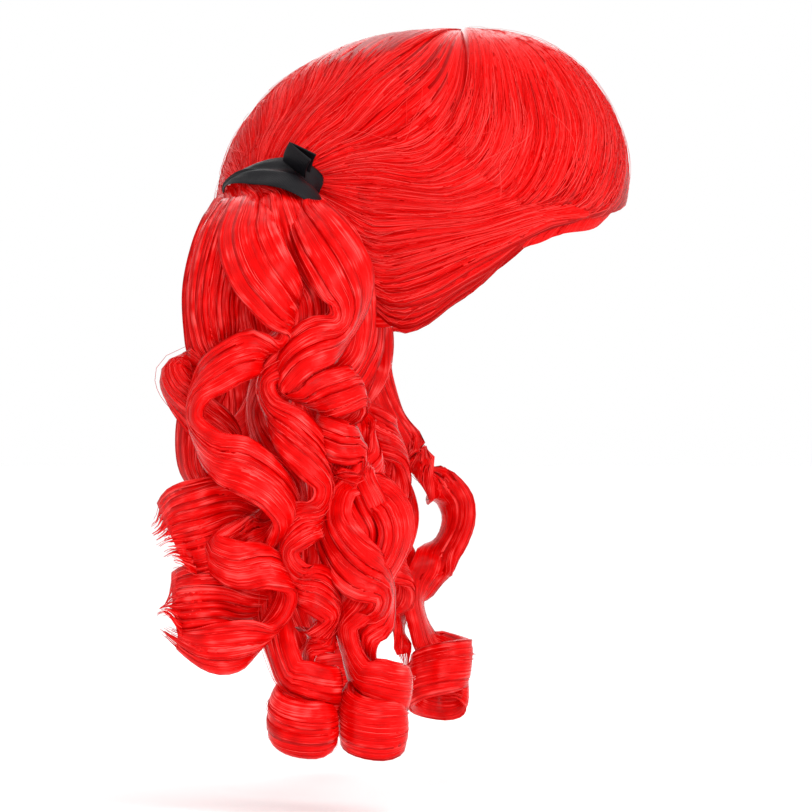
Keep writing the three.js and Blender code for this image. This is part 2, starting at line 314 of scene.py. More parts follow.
def satin_finish():
    finish, start = new_finish("black_satin")
    weave_map = fibre_map(start)
    ribs = start.node(
        "ShaderNodeTexWave",
        {"wave_type": "BANDS", "bands_direction": "Y"},
        {"Vector": weave_map, "Scale": 0.55, "Distortion": 0.4, "Detail": 1.0},
    )
    cloud = noise(start, weave_map, scale=0.3, detail=3.0)
    # Painted sheen mixed with the real ribs of the weave: lighter clouds lift the black colour.
    ribs_and_sheen = cloud * CLOUD_SHARE + ribs * RIB_SHARE
    wear_shader(
        start,
        {
            "Base Color": blend(start, ribs_and_sheen, SATIN_DARK, SATIN_RIBS_AND_SHEEN),
            "Roughness": cloud * SATIN_ROUGH_MORE + SATIN_ROUGH_LEAST,
            "Normal": bump(start, *SATIN_BUMP, ribs + cloud * CLOUD_HEIGHT),
            "Specular IOR Level": SATIN_GLOSS,
        },
    )
    return finish


def net_finish():
    finish, start = new_finish("red_cap_net")
    cells = start.node(
        "ShaderNodeTexVoronoi",
        {"voronoi_dimensions": "2D", "feature": "DISTANCE_TO_EDGE"},
        {"Vector": fibre_map(start), "Scale": 0.55, "Randomness": 0.25},
    )
    hole = start.node(
        "ShaderNodeMapRange",
        {"interpolation_type": "SMOOTHSTEP"},
        {"Value": cells, "From Min": 0.08, "From Max": 0.26},
    )
    wear_shader(
        start,
        {
            # The holes are painted shade: darker colour where one would look through the net.
            "Base Color": blend(start, hole, NET_THREAD, NET_HOLE_SHADE),
            "Roughness": NET_ROUGH - hole * HOLE_SMOOTH,
            "Normal": bump(start, *NET_BUMP, 1 - hole),
        },
    )
    return finish


black_satin, cap_net = satin_finish(), net_finish()
print("made", black_satin.name, "and", cap_net.name)

# %% [markdown]
# ## From arrays to a mesh
# Every piece below is worked out as whole arrays. A shell is a set of points, the triangles
# between them, a map for the finish and a tone for each point. Helpers join several shells in one,
# mirror a shell, and turn it into a Blender object with foreach_set, which hands over a full array
# at once.


# %% Shells and pieces
TINY = 1e-9


def unit(vectors):
    """Each vector divided by its own length."""
    return vectors / np.maximum(np.linalg.norm(vectors, axis=-1, keepdims=True), TINY)


def ease(value, start, end):
    """0 before start, 1 after end, and a smooth 3t²-2t³ step between them."""
    share = np.clip((value - start) / (end - start), 0, 1)
    return share * share * (3 - 2 * share)


def mix(first, second, share):
    return first + (second - first) * share


def walked(points, axis):
    """Distance walked along one axis of an array of points, from 0 at its start."""
    steps = np.diff(points, axis=axis, prepend=np.take(points, [0], axis))
    return np.linalg.norm(steps, axis=-1).cumsum(axis)


def paired(first, second):
    """Two arrays, spread to one shape, as the two numbers of a map."""
    return np.stack(np.broadcast_arrays(first, second), -1)


def join_shells(*shells):
    """One shell of several: the points one after another, the triangles shifted to match."""
    keys = ("points", "map", "tone")
    joined = {key: np.concatenate([shell[key] for shell in shells]) for key in keys}
    before = np.cumsum([0] + [len(shell["points"]) for shell in shells[:-1]])
    faces = [shell["triangles"] + first for shell, first in zip(shells, before)]
    return {**joined, "triangles": np.concatenate(faces)}


def mirrored(shell):
    """The same shell on the wearer's other side: x changes sign and every triangle turns round."""
    return {
        "points": shell["points"] * np.array([-1, 1, 1]),
        "triangles": shell["triangles"][:, ::-1],
        "map": shell["map"][:, ::-1],
        "tone": shell["tone"],
    }


def on_side(name, shell):
    """The shell as it is for a right or middle piece, and mirrored for a left one."""
    return mirrored(shell) if name.endswith("left") else shell


def put_piece(name, shell, finish, stands_for=()):
    """A Blender object of a shell in millimetres, riding on the wig and standing for CAD nodes."""
    points, triangles = shell["points"] * MM, shell["triangles"]
    mesh = bpy.data.meshes.new(name)
    mesh.vertices.add(len(points))
    mesh.vertices.foreach_set("co", points.astype(np.float32).ravel())
    mesh.loops.add(triangles.size)
    mesh.loops.foreach_set("vertex_index", triangles.astype(np.int32).ravel())
    mesh.polygons.add(len(triangles))
    mesh.polygons.foreach_set("loop_start", np.arange(0, triangles.size, 3, dtype=np.int32))
    mesh.polygons.foreach_set("use_smooth", np.ones(len(triangles), dtype=bool))
    mesh.update(calc_edges=True)
    layer = mesh.uv_layers.new(name="fibre")
    layer.uv.foreach_set("vector", shell["map"].astype(np.float32).ravel())
    tone = mesh.attributes.new("tone", "FLOAT", "POINT")
    tone.data.foreach_set("value", shell["tone"].astype(np.float32))
    mesh.materials.append(finish)
    piece = bpy.data.objects.new(name, mesh)
    bpy.context.collection.objects.link(piece)
    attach(piece, "root")
    for node in stands_for:
        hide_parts(node)
    return piece


# %% [markdown]
# ## Tubes and slabs
# Hair is modelled twice over. A slab is the soft body of a section, an outer skin over an inner
# one. On it lie locks and single strands, and both of those are tubes: a flat oval carried along a
# path. Thousands of tubes are built at once, as one array of paths, stations and sides.


# %% Tube and slab formulas
def grid_triangles(rows, columns, closed):
    """Two triangles for each cell of a rows by columns grid, and the map corner of each."""
    row, column = np.meshgrid(np.arange(rows - 1), np.arange(columns), indexing="ij")
    if not closed:
        row, column = row[:, :-1], column[:, :-1]
    corners = [(row, column), (row + 1, column), (row + 1, column + 1), (row, column + 1)]
    place = [r * columns + c % columns for r, c in corners]
    chart = [r * (columns + 1) + c for r, c in corners]
    order = [0, 1, 2, 0, 2, 3]
    return [
        np.stack([each[k].ravel() for k in order], -1).reshape(-1, 3) for each in (place, chart)
    ]


def end_fans(sides, last):
    """Triangles over the first ring, and over the ring that begins at the point numbered last."""
    fan = np.stack([np.zeros(sides - 2, int), np.arange(1, sides - 1), np.arange(2, sides)], -1)
    return np.concatenate([fan, fan[:, ::-1] + last])


MAP_STAGGER = 7


def tubes(paths, outward, wide, thick, sides, tone, shift, ridge=1.0):
    """Flat tubes along paths: centre + across * wide * cos(turn) + outward * thick * sin(turn).

    paths and outward are (tubes, stations, 3), wide and thick (tubes, stations), in mm. The seam of
    the map lies on the underside. Fans close the ends. ridge scales the oval at each side."""
    count, stations = paths.shape[:2]
    heading = unit(np.gradient(paths, axis=1))
    across = unit(np.cross(heading, outward))
    lifted = np.cross(across, heading)
    turn = 2 * np.pi * np.arange(sides) / sides - np.pi / 2
    ring = (
        paths[:, :, None]
        + across[:, :, None] * (ridge * wide[..., None] * np.cos(turn))[..., None]
        + lifted[:, :, None] * (ridge * thick[..., None] * np.sin(turn))[..., None]
    )
    walls, chart = grid_triangles(stations, sides, True)
    faces = np.concatenate([walls, end_fans(sides, (stations - 1) * sides)])
    corner = np.concatenate([chart, end_fans(sides, (stations - 1) * (sides + 1))])
    girth = (4 * wide).max(axis=1)
    around = np.arange(sides + 1) / sides
    shift = shift[:, None, None]
    chart_map = paired(
        shift + girth[:, None, None] * around, walked(paths, 1)[..., None] + MAP_STAGGER * shift
    ).reshape(count, -1, 2)
    starts = (np.arange(count) * stations * sides)[:, None, None]
    return {
        "points": ring.reshape(-1, 3),
        "triangles": (faces[None] + starts).reshape(-1, 3),
        "map": chart_map[:, corner].reshape(-1, 3, 2),
        "tone": np.repeat(tone, stations * sides),
    }


def slab(outer, inner, chart, tone):
    """A closed sheet: the outer grid, the inner one the other way round, and a rim between them."""
    rows, columns = outer.shape[:2]
    ring = np.concatenate([outer, inner[:, ::-1]], axis=1)
    walls, _ = grid_triangles(rows, 2 * columns, True)
    side = np.arange(columns - 1)
    across = 2 * columns - 1 - side
    cap = np.concatenate(
        [np.stack([side, side + 1, across - 1], -1), np.stack([side, across - 1, across], -1)]
    )
    faces = np.concatenate([walls, cap, cap[:, ::-1] + (rows - 1) * 2 * columns])
    flat = np.concatenate([chart, chart[:, ::-1]], axis=1).reshape(-1, 2)
    return {
        "points": ring.reshape(-1, 3),
        "triangles": faces,
        "map": flat[faces],
        "tone": np.full(rows * 2 * columns, tone),
    }


def outward_shell(shell):
    """The shell with its triangles turned so that its volume, the sum of a.(b x c)/6, is over 0."""
    a, b, c = (shell["points"][shell["triangles"][:, k]] for k in range(3))
    if np.einsum("ij,ij->", a, np.cross(b, c)) < 0:
        shell["triangles"], shell["map"] = shell["triangles"][:, ::-1], shell["map"][:, ::-1]
    return shell


def ring_shell(rings, chart, tone):
    """A closed shell of rings of points, with a map at the points and one tone."""
    rows, sides = rings.shape[:2]
    walls, _ = grid_triangles(rows, sides, True)
    faces = np.concatenate([walls, end_fans(sides, (rows - 1) * sides)])
    return outward_shell(
        {
            "points": rings.reshape(-1, 3),
            "triangles": faces,
            "map": chart.reshape(-1, 2)[faces],
            "tone": np.full(rows * sides, tone),
        }
    )


WANDER_PACE = 0.8


def wander(dice, count, share, waves):
    """A soft wavering line for each strand: a sum of sines of rising pace, each with its start."""
    pace = np.arange(1, waves + 1)[:, None, None]
    start = dice.uniform(0, 1, (waves, count, 1))
    height = dice.normal(0, 1, (waves, count, 1)) / pace
    return (height * np.sin(2 * np.pi * (pace * WANDER_PACE * share + start))).sum(0)


print("tube and slab formulas ready")

# %% [markdown]
# ## The shape of the head
# Hair is combed over two nested domes: the head inside, and the outside of the hair. A place on
# them is two angles, round from the face and down from the crown, and a depth between the domes. A
# super-ellipse with a power a little over 2 is fuller at the corners than an egg, as hair is.

# %% Domes
HEAD_DOME = {"top": 92, "apex": -10, "front": 85, "back": 105, "half": 74, "drop": 150}
HAIR_DOME = {"top": 104, "apex": -20, "front": 87.5, "back": 130, "half": 88, "drop": 150}
DOME_POWER = 2 / 2.2


def softened(value):
    return np.sign(value) * np.abs(value) ** DOME_POWER


def dome_point(dome, around, down):
    """Super-ellipse: each side is its half-length times sin or cos to the power 2/2.2."""
    around, down = np.radians(around), np.radians(down)
    reach, height = np.abs(np.sin(down)) ** DOME_POWER, softened(np.cos(down))
    middle = dome["apex"] + (dome["back"] - dome["front"]) / 2 * reach
    length = (dome["back"] + dome["front"]) / 2 * reach
    return np.stack(
        [
            -dome["half"] * reach * softened(np.sin(around)),
            middle - length * softened(np.cos(around)),
            np.where(height >= 0, dome["top"], dome["drop"]) * height,
        ],
        -1,
    )


def head_point(around, down, depth):
    """A point between the head, depth 0, and the outside of the hair, depth 1."""
    head, hair = dome_point(HEAD_DOME, around, down), dome_point(HAIR_DOME, around, down)
    return head + (hair - head) * np.asarray(depth)[..., None]


print("crown at", head_point(0.0, 0.0, 1.0), "mm")

# %% [markdown]
# ## The cap
# Under the hair is the net cap. It can only be seen from below or behind the fringe, but a wig is
# picked up and turned over, so it has its own shape: a dome whose front edge is high and whose
# nape is low, with a raised row about every centimetre inside, where the fibre is sewn in, and a
# rolled elastic edge. Depths here are shares of the way from the head to the outside of the hair.

# %% Cap
CAP_EDGE = {"front": 58, "side": 97, "back": 113}
CAP_APEX = 2.0
CAP_OUTSIDE, CAP_INSIDE, CAP_SLACK = 0.12, 0.03, 0.03
ROW_SPACING, ROW_RISE, ROW_POWER = 7.5, 0.05, 6
HEM_RISE, HEM_START, HEM_END = 0.06, (0.95, 0.97), (0.985, 1.0)
NET_MM_PER_DEGREE = 1.6


def cap_shell(around_steps=84, down_steps=52):
    """Two dome skins from the crown to an edge that is level + once*cos(a) + twice*cos(2a) down."""
    level = (CAP_EDGE["front"] + CAP_EDGE["back"]) / 4 + CAP_EDGE["side"] / 2
    twice, once = level - CAP_EDGE["side"], (CAP_EDGE["front"] - CAP_EDGE["back"]) / 2
    around = np.linspace(0, 360, around_steps, endpoint=False)
    edge = level + once * np.cos(np.radians(around)) + twice * np.cos(2 * np.radians(around))
    share = np.linspace(0, 1, down_steps)[:, None]
    down = CAP_APEX + (edge - CAP_APEX) * share
    rows = ROW_RISE * np.maximum(np.cos(2 * np.pi * down / ROW_SPACING), 0) ** ROW_POWER
    hem = HEM_RISE * ease(share, *HEM_START) * (1 - ease(share, *HEM_END))
    outside = head_point(around + 0 * down, down, CAP_OUTSIDE + hem - CAP_SLACK * (1 - hem))
    inside = head_point(around + 0 * down, down, CAP_INSIDE - rows - hem)
    turn = np.radians(around)
    chart = np.stack([down * np.sin(turn), down * np.cos(turn)], -1) * NET_MM_PER_DEGREE
    return ring_shell(
        np.concatenate([outside, inside[::-1]]), np.concatenate([chart, chart[::-1]]), MIDDLE_TONE
    )


cap = put_piece("cap_visual", cap_shell(), cap_net, ["cap"])
print("cap has", len(cap.data.polygons), "triangles")

# %% [markdown]
# ## Combing the head
# A section of hair is described as a hairdresser would: a few guide lines, each with a root, two
# or three places it passes over, and an end. On a flat chart, with down as the distance from the
# crown, a Catmull-Rom curve runs through each line, and another runs across from line to line. So
# any strand is two numbers: how far along, and how far across the section.


# %% Guide lines
def chart_of(lines):
    around, down = np.radians(lines[..., 0]), lines[..., 1]
    return np.stack([down * np.sin(around), down * np.cos(around)], -1)


def curve_weights(share, count):
    """Catmull-Rom weights of count control points, with straight ends, for shares from 0 to 1."""
    place = np.clip(share, 0, 1) * (count - 1)
    first = np.minimum(np.floor(place).astype(int), count - 2)
    t = place - first
    four = np.stack(
        [
            -t + 2 * t**2 - t**3,
            2 - 5 * t**2 + 3 * t**3,
            t + 4 * t**2 - 3 * t**3,
            -(t**2) + t**3,
        ],
        -1,
    )
    weights = np.zeros(share.shape + (count + 2,))
    np.put_along_axis(weights, first[..., None] + np.arange(4), four / 2, -1)
    weights[..., 1] += 2 * weights[..., 0]
    weights[..., 2] -= weights[..., 0]
    weights[..., -2] += 2 * weights[..., -1]
    weights[..., -3] -= weights[..., -1]
    return weights[..., 1:-1]


TIE = {"around": 131, "down": 82, "half_around": 18, "half_down": 12}


def tie_edge(clock):
    """The edge of the gathered root on the head: an oval of angles, clock 0 on top, 90 in front."""
    turn = np.radians(clock)
    return [
        TIE["around"] - TIE["half_around"] * math.sin(turn),
        TIE["down"] - TIE["half_down"] * math.cos(turn),
    ]


def section(lines, **shape):
    """A section's guide chart, its tie clocks if it ends there, and the shape of its thickness.

    A place on a line is its degrees round and down. One number in its stead is a clock on the tie.
    seams are the depths along the first and the last line, root where those two begin and end at
    the tips, where 1 is full. gather is added at the tie and crest over the first half."""
    tied = np.ndim(lines[0][-1]) == 0
    clocks = np.array([line[-1] for line in lines], float) if tied else None
    guides = [[*line[:-1], tie_edge(line[-1])] if tied else line for line in lines]
    return {"chart": chart_of(np.array(guides, float)), "clocks": clocks, "crest": 0.0, **shape}


FRINGE_BODY = section(
    [
        [(-84, 50), (-83, 66), (-84, 86), (-87, 100)],
        [(-87, 25), (-58, 46), (-48, 70), (-40, 84)],
        [(0, 0), (-14, 38), (-6, 64), (6, 83)],
        [(87, 25), (48, 46), (37, 72), (48, 91)],
        [(85, 37.5), (67, 57), (63, 80), (72, 95)],
        [(84, 50), (84, 66), (84, 86), (87, 101)],
    ],
    seams=(0.9, 0.9), root=(0.95, 0.95), end=0.5, gather=0,
)
FRINGE_COMB = section(
    [
        [(-86, 40), (-80, 58), (-76, 75), (-74, 85), (-72, 91)],
        [(-70, 8), (-52, 46), (-44, 68), (-36, 80), (-24, 85)],
        [(-10, 1), (-16, 42), (-12, 64), (2, 82), (24, 88.8)],
        [(28, 1), (6, 44), (9.5, 68), (28, 86.5), (54, 92.8)],
        [(48, 1), (30, 40), (34, 66.5), (48, 86), (74, 94.6)],
        [(60, 1), (54, 47), (55.5, 70.5), (66, 86), (86, 91)],
        [(70, 1), (70, 46), (72, 66), (78, 77), (90, 82)],
        [(84, 1), (80, 44), (83, 60), (87, 67), (96, 72)],
    ],
    seams=(0.9, 0.97), root=(0.95, 1.1), end=0.7, gather=0, crest=0.36,
)
SIDE_BODY = section(
    [
        [(0, 0), (112, 25), (120, 48), 6],
        [(87, 25), (99, 40), (109, 56), 45],
        [(84, 50), (93, 61), (103, 70), 78],
        [(84, 78), (93, 88), (103, 89), 112],
        [(87, 103), (98, 109.5), (111, 107.5), 160],
    ],
    seams=(0.95, 0.7), root=(0.93, 0.8), end=1, gather=0.3,
)
SIDE_COMB = section(
    [
        [(118, 0.5), (114, 25), (119, 42), (122, 58), 0],
        [(88, 2), (93, 37), (103, 54), (111, 66), 38],
        [(79, 28), (83, 54), (91, 69), (103, 73), 62],
        [(71, 48), (75, 71), (88, 81), (104, 79), 82],
        [(55, 58), (60, 79), (80, 87.5), (100, 87), 100],
        [(36, 70), (48, 85), (74, 90.5), (99, 93), 118],
        [(20, 82), (42, 89), (71, 93), (98, 100), 138],
        [(60, 93.5), (74, 95.6), (84.5, 103.3), (98, 109), 160],
    ],
    seams=(1.0, 0.75), root=(1.05, 0.6), end=1, gather=0.3,
)
BACK_BODY = section(
    [
        [(0, 0), (112, 25), (120, 48), 6],
        [(180, 34), (161, 48), (150, 60), -48],
        [(180, 68), (168, 73), (157, 77), -85],
        [(180, 96), (167, 95), (155, 92), -125],
        [(180, 115), (166, 112), (148, 107), -165],
    ],
    seams=(0.95, 0.8), root=(0.95, 0.95), end=1, gather=0.25,
)
BACK_COMB = section(
    [
        [(88, 0.5), (100, 24), (112, 47), 16],
        [(180, 8), (150, 34), (134, 53), -18],
        [(180, 36), (167, 54), (150, 66), -52],
        [(180, 62), (172, 76), (158, 80), -90],
        [(180, 88), (172, 97), (158, 95), -124],
        [(180, 113), (168, 113), (150, 108), -162],
    ],
    seams=(1.0, 0.85), root=(1.06, 0.94), end=1, gather=0.25, crest=0.12,
)
print("guide lines for the fringe, sides and back")

# %% [markdown]
# ## The tie
# Behind each ear the hair is drawn together, and a ribbon holds it. From there it droops, because
# a bunch is heavy. The root is a row of ovals, each a step further out and turned a little more
# downwards, in a frame that follows the surface of the head.

# %% Frames of the root
# Each oval: how far out and up it is, its droop in degrees, half its width and half its height.
ROOT_STATIONS = np.array(
    [
        [0, 0, 0, 25.5, 16.5],
        [7, 1, 18, 24, 14.2],
        [15, 1, 34, 22.5, 14.5],
        [24, -5, 46, 22.5, 14.5],
        [27.5, -8.5, 52, 24, 15],
    ]
)
WAIST, BRIM = ROOT_STATIONS[2:4]
BAND_STATIONS = np.concatenate([ROOT_STATIONS, [[36, -18, 62, 24, 13]]])
ROOT_DEPTH = 0.22


def tie_frame():
    """Base on the head, then forwards along it, up along it, and straight out from it."""
    around, down = float(TIE["around"]), float(TIE["down"])
    forward = unit(
        dome_point(HAIR_DOME, around - 1, down) - dome_point(HAIR_DOME, around + 1, down)
    )
    rise = dome_point(HAIR_DOME, around, down - 1) - dome_point(HAIR_DOME, around, down + 1)
    out = unit(np.cross(forward, rise))
    return head_point(around, down, ROOT_DEPTH), forward, np.cross(out, forward), out


TIE_BASE, TIE_FORWARD, TIE_UP, TIE_OUT = tie_frame()


def station_frame(station):
    """Origin, forward, up and out of ovals of the root, each turned down by its droop."""
    out, up, droop = (station[..., k, None] for k in range(3))
    droop = np.radians(droop)
    return (
        TIE_BASE + TIE_UP * up + TIE_OUT * out,
        TIE_FORWARD,
        TIE_UP * np.cos(droop) + TIE_OUT * np.sin(droop),
        TIE_OUT * np.cos(droop) - TIE_UP * np.sin(droop),
    )


def in_frame(frame, forward, up, out):
    """A point by its distances in a frame."""
    origin, ahead, above, away = frame
    steps = [np.asarray(value)[..., None] for value in (forward, up, out)]
    return origin + ahead * steps[0] + above * steps[1] + away * steps[2]


def oval_point(station, turn, grow):
    """The oval of a station: half * cos(turn) forward and rise * sin(turn) up, grown by some mm."""
    half, rise = station[..., 3] + grow, station[..., 4] + grow
    return in_frame(station_frame(station), half * np.cos(turn), rise * np.sin(turn), 0 * turn)


def station_at(place):
    """The oval at a fractional place: 0 on the head, 4 at the root's end and 5 beyond it."""
    last = len(BAND_STATIONS) - 1
    return curve_weights(np.asarray(place) / last, last + 1) @ BAND_STATIONS


print("tie at", np.round(TIE_BASE, 1), "mm")

# %% [markdown]
# ## Strands over the head
# One function turns a section and any set of shares into paths in space. The depth of the hair
# swells from its root, dips at seams and thins at free ends. Tied sections leave the head for the
# last part, and run under the ribbon onto the waist of the root.

# %% Paths on the head
TUCK = 4.0
TUCK_FROM = 0.84
TIE_MM = 12
RIDGE_PACES = (5, 11, 19, 31)
RIDGE_HEIGHT, RIDGE_DRIFT, RIDGE_BENDS, RIDGE_FADE = 0.007, 0.7, 0.6, 0.6
SEAM_POWER = 8
SWELL_SPAN, SWELL_MORE = 0.14, 0.2
THIN_SPAN, CREST_RISE, CREST_FALL, MOUND_SPAN = (0.55, 1), (0, 0.24), (0.45, 0.95), (0.7, 1)


def hair_depth(part, along, across):
    """Depth of the outside: seam dip * root swell * end thinning, plus a crest and a tie mound."""
    edge = np.where(across < 0.5, *part["seams"])
    seam = mix(1, edge, np.abs(2 * across - 1) ** SEAM_POWER)
    swell = ease(along, 0, SWELL_SPAN + SWELL_MORE * across)
    root = mix(mix(*part["root"], across), 1, swell)
    end = mix(1, part["end"], ease(along, *THIN_SPAN))
    crest = part["crest"] * ease(along, *CREST_RISE) * (1 - ease(along, *CREST_FALL))
    return seam * root * end + crest + part["gather"] * ease(along, *MOUND_SPAN)


def head_paths(part, along, across, lift):
    """Points and outward directions for strands, lift being added to the depth of the hair."""
    rows, stops = part["chart"].shape[:2]
    weights = curve_weights(across, rows)
    flat = np.einsum("...r,...k,rkc->...c", weights, curve_weights(along, stops), part["chart"])
    around = np.degrees(np.arctan2(flat[..., 0], flat[..., 1]))
    down = np.hypot(flat[..., 0], flat[..., 1])
    depth = hair_depth(part, along, across) + lift
    point = head_point(around, down, depth)
    outward = unit(head_point(around, down, depth + 0.5) - point)
    if part["clocks"] is not None:
        turn = np.pi / 2 - np.radians(weights @ part["clocks"])
        held = oval_point(WAIST, turn, -TUCK + TIE_MM * lift)
        centre = station_frame(WAIST)[0]
        share = ease(along, TUCK_FROM, 1)[..., None]
        point = mix(point, held, share)
        outward = unit(mix(outward, unit(held - centre), share))
    return point, outward


def comb_ridges(along, across, dice):
    """Shallow waves across the hair, each a sine of the place across that drifts along the hair."""
    pace = np.array(RIDGE_PACES)[:, None, None]
    start, bend = dice.uniform(0, 1, (2, len(RIDGE_PACES), 1, 1))
    drift = RIDGE_DRIFT * np.sin(2 * np.pi * (RIDGE_BENDS * along + bend))
    return (np.sin(2 * np.pi * (pace * across + drift + start)) / pace**RIDGE_FADE).sum(0)


BODY_ACROSS = (0.004, 0.996)
BODY_INSIDE, THINNEST_BODY, FREE_WALL, FREE_SPAN = 0.26, 0.02, 0.04, (0.75, 1)
# Painted shade: the body under the locks is a slightly darker tone.
SHADED_BODY_TONE = 0.42


def section_body(part, along_steps, across_steps, lift, seed):
    """The soft body under the locks: a slab a little inside the depth of the hair, with ridges."""
    along = np.linspace(0, 1, along_steps)[:, None] + np.zeros((1, across_steps))
    across = np.linspace(*BODY_ACROSS, across_steps)[None] + np.zeros((along_steps, 1))
    ridges = RIDGE_HEIGHT * comb_ridges(along, across, np.random.default_rng(seed))
    outer, _ = head_paths(part, along, across, lift + ridges)
    drop = -np.maximum(hair_depth(part, along, across) - BODY_INSIDE, THINNEST_BODY)
    if part["clocks"] is None:
        drop = mix(drop, lift - FREE_WALL, ease(along, *FREE_SPAN))
    inner, _ = head_paths(part, along, across, drop)
    broad = walked(outer, 1)[:, -1].max() * across
    return outward_shell(slab(outer, inner, np.stack([broad, walked(outer, 0)], -1), SHADED_BODY_TONE))


LOCK_MARGIN, STRAND_MARGIN = 1.1, 0.002
HEIGHT_WAVER = 0.005
LATE_START, LATE_SINK, SINK_SPAN = 0.03, 0.07, (0, 0.25)
ROOT_TAPER, TIP_SPAN, TIP_LOSS = (-0.1, 0.3), (0.7, 1), 0.9
SWELLS = (0.75, 1.3)
LOCK_FILL, LOCK_WIDTHS = 0.9, (0.4, 6)
LOCK_THINNESS, LOCK_THICKS = 0.07, (0.1, 0.3)
STRAND_ROOT, STRAND_FLATNESS = 0.3, 0.8
# Strands are a lighter tone than the locks: painted highlight on single fibres.
LOCK_TONE, HIGHLIGHT_STRAND_TONE, TONE_SPREAD = 0.5, 0.8, 0.15
MAP_SHIFTS = (0, 900)


def own_look(dice, count, tone, spread):
    """A tone near one value, and a start on the map, for each tube by chance."""
    return np.clip(dice.normal(tone, spread, count), 0, 1), dice.uniform(*MAP_SHIFTS, count)


def section_tubes(part, seed, count, stations, sides, size, lift, waver, ends):
    """Locks, or strands of a size, spread evenly over a section, with uneven ends and a waver."""
    dice = np.random.default_rng(seed)
    locks = size is None
    place = (np.arange(count) + dice.uniform(0, 1, count)) / count
    begin = dice.uniform(*ends[0], count)[:, None]
    finish = dice.uniform(*ends[1], count)[:, None]
    share = np.linspace(0, 1, stations)[None]
    along = begin + (finish - begin) * share
    drift = waver * wander(dice, count, share, 3)
    margin = LOCK_MARGIN / count if locks else STRAND_MARGIN
    across = np.clip(place[:, None] + drift, margin, 1 - margin)
    raised = dice.uniform(*lift, count)[:, None] + HEIGHT_WAVER * wander(dice, count, share, 2)
    sunk = LATE_SINK * (1 - ease(share, *SINK_SPAN)) * (begin > LATE_START)
    paths, outward = head_paths(part, along, across, raised - sunk)
    step = 0.5 / count
    after, _ = head_paths(part, along, np.clip(across + step, 0, 1), raised)
    before, _ = head_paths(part, along, np.clip(across - step, 0, 1), raised)
    spacing = np.linalg.norm(after - before, axis=-1)
    taper = ease(share, *ROOT_TAPER)
    if part["clocks"] is None:
        taper = taper * (1 - TIP_LOSS * ease(share, *TIP_SPAN))
    swell = dice.uniform(*SWELLS, (count, 1))
    if locks:
        wide = np.clip(spacing * LOCK_FILL, *LOCK_WIDTHS) * swell * taper
        thick = np.clip(LOCK_THINNESS * wide, *LOCK_THICKS)
    else:
        wide = size * swell * mix(STRAND_ROOT, 1, taper)
        thick = STRAND_FLATNESS * wide
    look = own_look(dice, count, LOCK_TONE if locks else HIGHLIGHT_STRAND_TONE, TONE_SPREAD)
    return tubes(paths, outward, wide, thick, sides, *look)


# %% [markdown]
# ## Hair on the head
# Each section gets three layers. Two nested bodies close it. Flat overlapping locks on top give
# the combed relief, and their width follows the spacing of the guide lines, so that they narrow by
# themselves where the hair converges. Last come thin strands, a few of them loose, which break up
# the edges.

# %% Make the sections
BODY_GRID, COMB_GRID = (36, 32), (48, 96)
BODY_LIFT, COMB_LIFT = -0.14, -0.05
LOWER_LOCKS = {
    "stations": 22, "sides": 4, "size": None,
    "lift": (-0.075, -0.058), "waver": 0.003, "ends": ((0, 0.06), (0.96, 1)),
}
UPPER_LOCKS = {
    "stations": 20, "sides": 4, "size": None,
    "lift": (-0.068, -0.05), "waver": 0.006, "ends": ((0.03, 0.35), (0.9, 1)),
}
STRANDS = {
    "stations": 14, "sides": 3, "size": 0.17,
    "lift": (-0.05, -0.01), "waver": 0.005, "ends": ((0, 0.35), (0.8, 1)),
}
LOOSE_STRANDS = {
    "stations": 18, "sides": 3, "size": 0.13,
    "lift": (0.0, 0.07), "waver": 0.03, "ends": ((0, 0.4), (0.7, 1)),
}
STRANDS_PER_LOOSE = 10


def dressed_section(body, comb, seed, locks, strands):
    """Two bodies, two layers of locks, strands, and a loose strand for every ten of those."""
    return join_shells(
        section_body(body, *BODY_GRID, BODY_LIFT, seed),
        section_body(comb, *COMB_GRID, COMB_LIFT, seed),
        section_tubes(comb, seed, locks, **LOWER_LOCKS),
        section_tubes(comb, seed + 1, locks, **UPPER_LOCKS),
        section_tubes(comb, seed + 2, strands, **STRANDS),
        section_tubes(comb, seed + 3, strands // STRANDS_PER_LOOSE, **LOOSE_STRANDS),
    )


# For each section: its body and its comb, a seed, the locks in each layer and the strands.
HAIR_SECTIONS = {
    "fringe": (FRINGE_BODY, FRINGE_COMB, 11, 80, 520),
    "side_right": (SIDE_BODY, SIDE_COMB, 21, 60, 300),
    "back_right": (BACK_BODY, BACK_COMB, 31, 60, 340),
    "side_left": (SIDE_BODY, SIDE_COMB, 41, 60, 300),
    "back_left": (BACK_BODY, BACK_COMB, 51, 60, 340),
}
for node, facts in HAIR_SECTIONS.items():
    shell = on_side(node, dressed_section(*facts))
    piece = put_piece(node + "_hair", shell, red_hair, [node])
    print(piece.name, len(piece.data.polygons), "triangles")

# %% [markdown]
# ## The roots of the bunches
# Inside the ribbon the hair is one tight bundle. Its ovals are joined by a smooth curve, and
# grooves run along it where the fibres are pressed together.

# %% Gathered roots
ROOT_TUFTS, ROOT_GROOVE, ROOT_INSET = 24, 0.35, 0.8
# Painted shade: the bundle inside the ribbon is a darker tone than the locks over it.
ROOT_GIRTH, ROOT_LENGTH, SHADED_ROOT_TONE = 130, 35, 0.35


